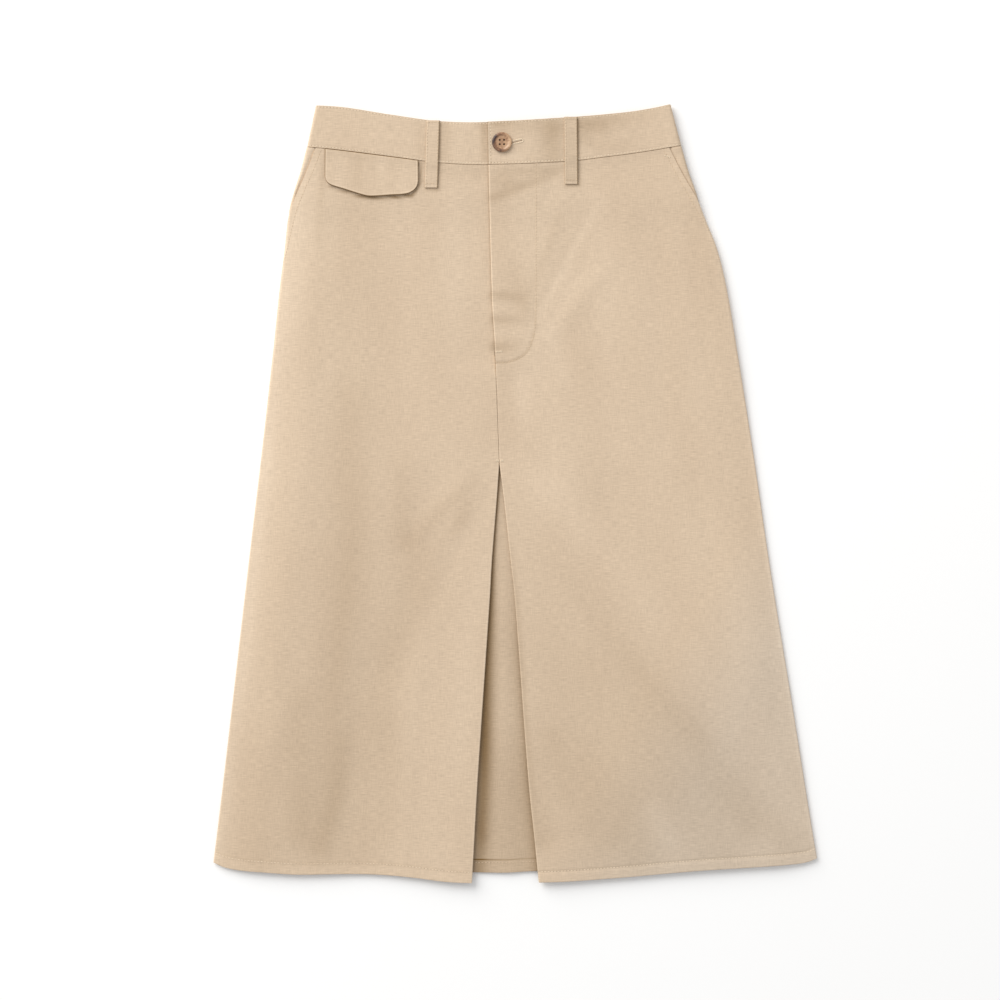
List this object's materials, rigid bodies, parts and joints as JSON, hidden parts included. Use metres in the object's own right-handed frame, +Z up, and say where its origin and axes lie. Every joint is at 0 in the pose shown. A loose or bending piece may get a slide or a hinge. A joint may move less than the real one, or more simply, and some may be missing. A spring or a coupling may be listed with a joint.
{
  "type": "box pleated skirt",
  "caption": "A-line canvas skirt laid flat, with a buttoned waistband, belt loops, fly, slant side pockets, a small pocket flap and an inverted box pleat down the centre front.",
  "frame": {"origin": "middle of the laid-out skirt's outline, on the floor that it lies on", "axes": "+Y from the hem to the waist along the skirt's length, +Z up through the cloth towards its front face, +X towards the wearer's left"},
  "size_m": [0.5743, 0.7399, 0.0116],
  "materials": {
    "canvas": "plain-woven cotton canvas, sand beige, matt, soft and lightly creased",
    "zip_tape": "woven cotton tape, matt",
    "horn_button": "mottled brown horn-look resin, satin gloss"
  },
  "bodies": {
    "root": {"back_panel": "canvas", "front_panel_right": "canvas", "front_panel_left": "canvas", "pleat_underlay": "canvas", "pocket_facing_right": "canvas", "pocket_facing_left": "canvas", "waistband": "canvas", "pocket_flap": "canvas", "belt_loop_front_right": "canvas", "belt_loop_front_left": "canvas", "belt_loop_back_right": "canvas", "belt_loop_back_centre": "canvas", "belt_loop_back_left": "canvas", "fly_zip": "zip_tape", "waist_button": "horn_button"}
  },
  "joints": []
}
